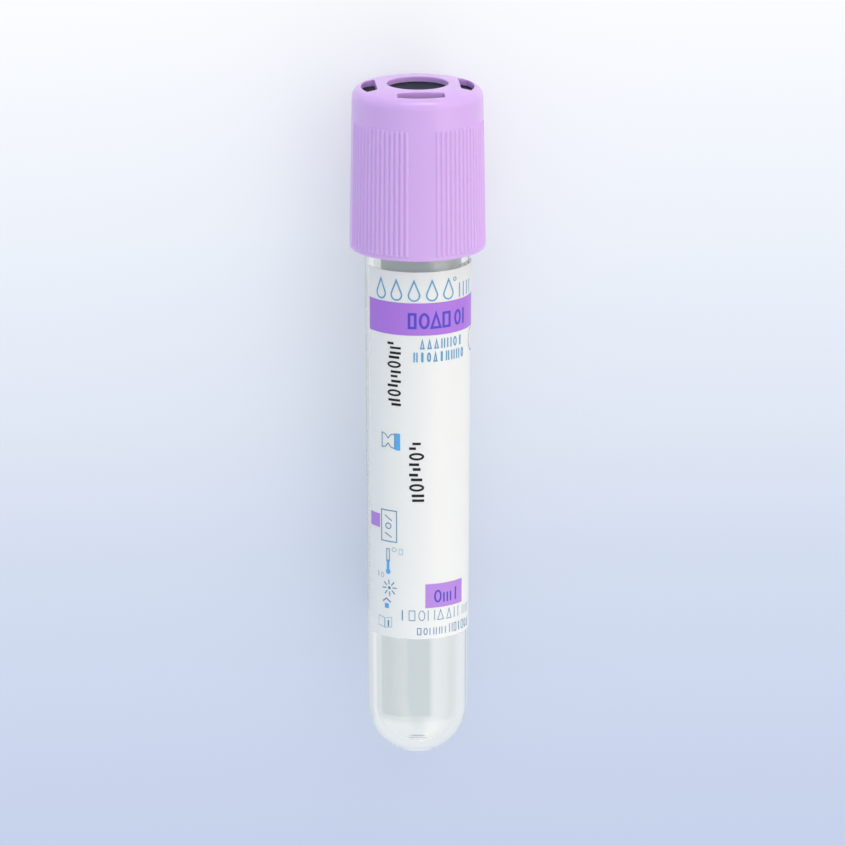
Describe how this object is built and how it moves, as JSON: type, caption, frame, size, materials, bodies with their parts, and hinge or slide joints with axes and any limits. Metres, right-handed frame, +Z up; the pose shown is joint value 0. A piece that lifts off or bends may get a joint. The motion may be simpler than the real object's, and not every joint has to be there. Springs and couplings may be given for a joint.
{
  "type": "blood collection tube",
  "caption": "Evacuated blood tube on its side: clear round-ended tube with a wrapped label, and a rubber stopper and ribbed cap that pull off together along the tube.",
  "frame": {"origin": "on the floor under the middle of the tube as it lies, the bottom centre of its box", "axes": "+Y along the tube towards the cap, +Z up from the floor, +X across the tube"},
  "size_m": [0.0164, 0.0834, 0.0167],
  "materials": {
    "clear_polyester": "clear moulded polyester, glossy",
    "butyl_rubber": "dark slate rubber, smooth and dull",
    "lavender_plastic": "moulded lavender polyethylene, satin",
    "label_film": "white printed film, slightly glossy"
  },
  "bodies": {
    "vessel": {"tube": "clear_polyester", "label": "label_film"},
    "closure": {"cap": "lavender_plastic", "stopper": "butyl_rubber"}
  },
  "joints": [
    {"name": "closure_pull", "type": "slide", "parent": "vessel", "child": "closure", "axis": [0, 0.9993, 0.037], "range_m": [0, 0.03]}
  ]
}
